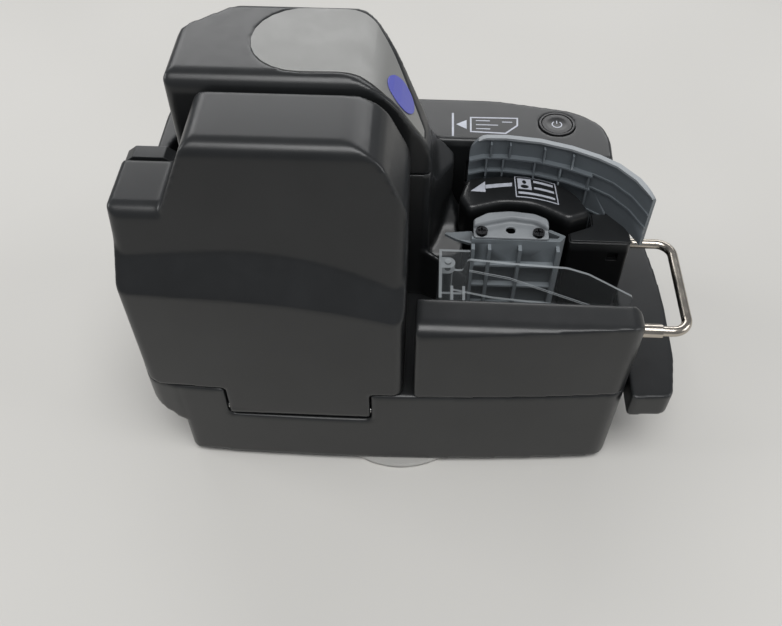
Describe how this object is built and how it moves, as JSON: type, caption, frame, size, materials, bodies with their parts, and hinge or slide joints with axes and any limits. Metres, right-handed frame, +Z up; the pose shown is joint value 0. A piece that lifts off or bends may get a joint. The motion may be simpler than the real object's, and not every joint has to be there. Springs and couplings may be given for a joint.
{
  "type": "cheque scanner",
  "caption": "Desktop cheque scanner with a U-shaped track: hopper, tipping front cover, lifting centre cover, exit pocket with a sprung flag, sliding wire stop and driven rollers.",
  "frame": {"origin": "middle of the bounding box's bottom, on the table", "axes": "+X along the front, from the covers to the wire stop; +Y to the back; +Z up"},
  "size_m": [0.264, 0.1464, 0.186],
  "materials": {
    "black_plastic": "fine satin texture, faint polish on the edges",
    "inner_plastic": "plain moulded",
    "slate_plastic": "satin",
    "blue_grey_plastic": "satin",
    "silver_plastic": "silver paint under a satin lacquer",
    "blue_plastic": "printed disc with a gloss",
    "gloss_black": "semi-gloss",
    "clear_plastic": "clear polished",
    "clear_rubber": "clear soft elastomer",
    "sensor_glass": "polished",
    "rubber": "matte",
    "roller_rubber": "ground rubber tyres on a steel shaft",
    "wire_nickel": "nickel plated wire",
    "steel": "ground",
    "black_steel": "black oxide",
    "zinc_steel": "zinc plated sheet",
    "socket_steel": "tinned",
    "motor_case": "black enamel",
    "bronze": "sintered",
    "board_green": "solder mask"
  },
  "bodies": {
    "base": {"base_casing": "black_plastic", "bottom_plate": "black_plastic", "rubber_feet": "rubber", "grip_pad": "clear_rubber", "casing_screws": "steel", "side_tray": "black_plastic", "rear_housing": "black_plastic", "left_end_guide": "black_plastic", "core_housing": "black_plastic", "turn_guide": "black_plastic", "core_top_plate": "inner_plastic", "exit_pocket_housing": "black_plastic", "card_guide": "black_plastic", "tail_block": "black_plastic", "hopper_plate": "slate_plastic", "pocket_divider": "blue_grey_plastic", "divider_cap": "blue_grey_plastic", "cap_screws": "black_steel", "button_bezel": "gloss_black", "exit_guide_block": "clear_plastic", "wire_bushes": "wire_nickel", "latch_housing": "black_plastic", "chassis_plate": "zinc_steel", "shaft_bushes": "bronze", "motor": "motor_case", "feed_motor": "motor_case", "drive_belt": "rubber", "circuit_board": "board_green", "board_parts": "inner_plastic", "usb_socket": "socket_steel", "power_socket": "inner_plastic", "core_image_sensor": "inner_plastic", "core_sensor_glass": "sensor_glass", "magnetic_head": "socket_steel", "ink_cartridge": "inner_plastic", "cartridge_holder": "inner_plastic", "pinch_axles": "steel", "front_hinge_pin": "steel", "centre_hinge_pin": "steel"},
    "front_cover": {"front_cover": "black_plastic", "front_liner": "inner_plastic", "cover_image_sensor": "inner_plastic", "cover_sensor_glass": "sensor_glass", "cover_axles": "steel"},
    "centre_cover": {"centre_cover": "black_plastic", "inlay_panel": "silver_plastic", "round_badge": "blue_plastic"},
    "cover_latch": {"cover_latch": "black_plastic"},
    "power_button": {"power_button": "gloss_black"},
    "wire_stop": {"wire_stop": "wire_nickel"},
    "exit_flag": {"exit_flag": "clear_plastic"},
    "motor_pulley": {"motor_pulley": "steel"},
    "feed_roller": {"feed_roller": "roller_rubber"},
    "rear_roller": {"rear_roller": "roller_rubber"},
    "front_roller": {"front_roller": "roller_rubber"},
    "exit_roller": {"exit_roller": "roller_rubber"},
    "rear_pinch_roller": {"rear_pinch_roller": "roller_rubber"},
    "front_pinch_roller": {"front_pinch_roller": "roller_rubber"},
    "exit_pinch_roller": {"exit_pinch_roller": "roller_rubber"}
  },
  "joints": [
    {"name": "front_cover_tip", "type": "hinge", "parent": "base", "child": "front_cover", "pos_m": [-0.0476, -0.0654, 0.0418], "axis": [1, 0, 0], "range_deg": [0, 35]},
    {"name": "centre_cover_lift", "type": "hinge", "parent": "base", "child": "centre_cover", "pos_m": [-0.051, 0.0488, 0.1411], "axis": [-1, 0, 0], "range_deg": [0, 70]},
    {"name": "latch_press", "type": "slide", "parent": "base", "child": "cover_latch", "axis": [0, 0, -1], "range_m": [0, 0.003], "stiffness_N_per_m": 400, "springref_m": -0.002},
    {"name": "button_press", "type": "slide", "parent": "base", "child": "power_button", "axis": [0, 0, -1], "range_m": [0, 0.0012], "stiffness_N_per_m": 600, "springref_m": -0.001},
    {"name": "wire_slide", "type": "slide", "parent": "base", "child": "wire_stop", "axis": [1, 0, 0], "range_m": [-0.004, 0.012]},
    {"name": "flag_swing", "type": "hinge", "parent": "base", "child": "exit_flag", "pos_m": [0.0205, -0.023, 0.08], "axis": [0, 0, 1], "range_deg": [-11, 6], "stiffness_Nm_per_rad": 0.02},
    {"name": "motor_spin", "type": "hinge", "parent": "base", "child": "motor_pulley", "pos_m": [-0.05, 0.029, 0.048], "axis": [0, 0, 1], "continuous": true},
    {"name": "feed_spin", "type": "hinge", "parent": "base", "child": "feed_roller", "pos_m": [0.036, 0.0494, 0.08], "axis": [0, 0, 1], "continuous": true},
    {"name": "rear_spin", "type": "hinge", "parent": "base", "child": "rear_roller", "pos_m": [-0.034, 0.0423, 0.08], "axis": [0, 0, 1], "continuous": true},
    {"name": "front_spin", "type": "hinge", "parent": "base", "child": "front_roller", "pos_m": [-0.072, 0.00225, 0.08], "axis": [0, 0, 1], "continuous": true},
    {"name": "exit_spin", "type": "hinge", "parent": "base", "child": "exit_roller", "pos_m": [-0.013, 0.00225, 0.08], "axis": [0, 0, 1], "continuous": true},
    {"name": "rear_pinch_spin", "type": "hinge", "parent": "base", "child": "rear_pinch_roller", "pos_m": [-0.034, 0.0606, 0.08], "axis": [0, 0, 1], "continuous": true},
    {"name": "front_pinch_spin", "type": "hinge", "parent": "front_cover", "child": "front_pinch_roller", "pos_m": [-0.072, -0.01605, 0.08], "axis": [0, 0, 1], "continuous": true},
    {"name": "exit_pinch_spin", "type": "hinge", "parent": "front_cover", "child": "exit_pinch_roller", "pos_m": [-0.013, -0.01605, 0.08], "axis": [0, 0, 1], "continuous": true}
  ],
  "couplings": [
    {"joint": "rear_spin", "follows": "motor_spin", "ratio": 1},
    {"joint": "front_spin", "follows": "motor_spin", "ratio": 1},
    {"joint": "exit_spin", "follows": "motor_spin", "ratio": 1},
    {"joint": "rear_pinch_spin", "follows": "motor_spin", "ratio": -1.5714},
    {"joint": "front_pinch_spin", "follows": "motor_spin", "ratio": -1.5714},
    {"joint": "exit_pinch_spin", "follows": "motor_spin", "ratio": -1.5714}
  ]
}
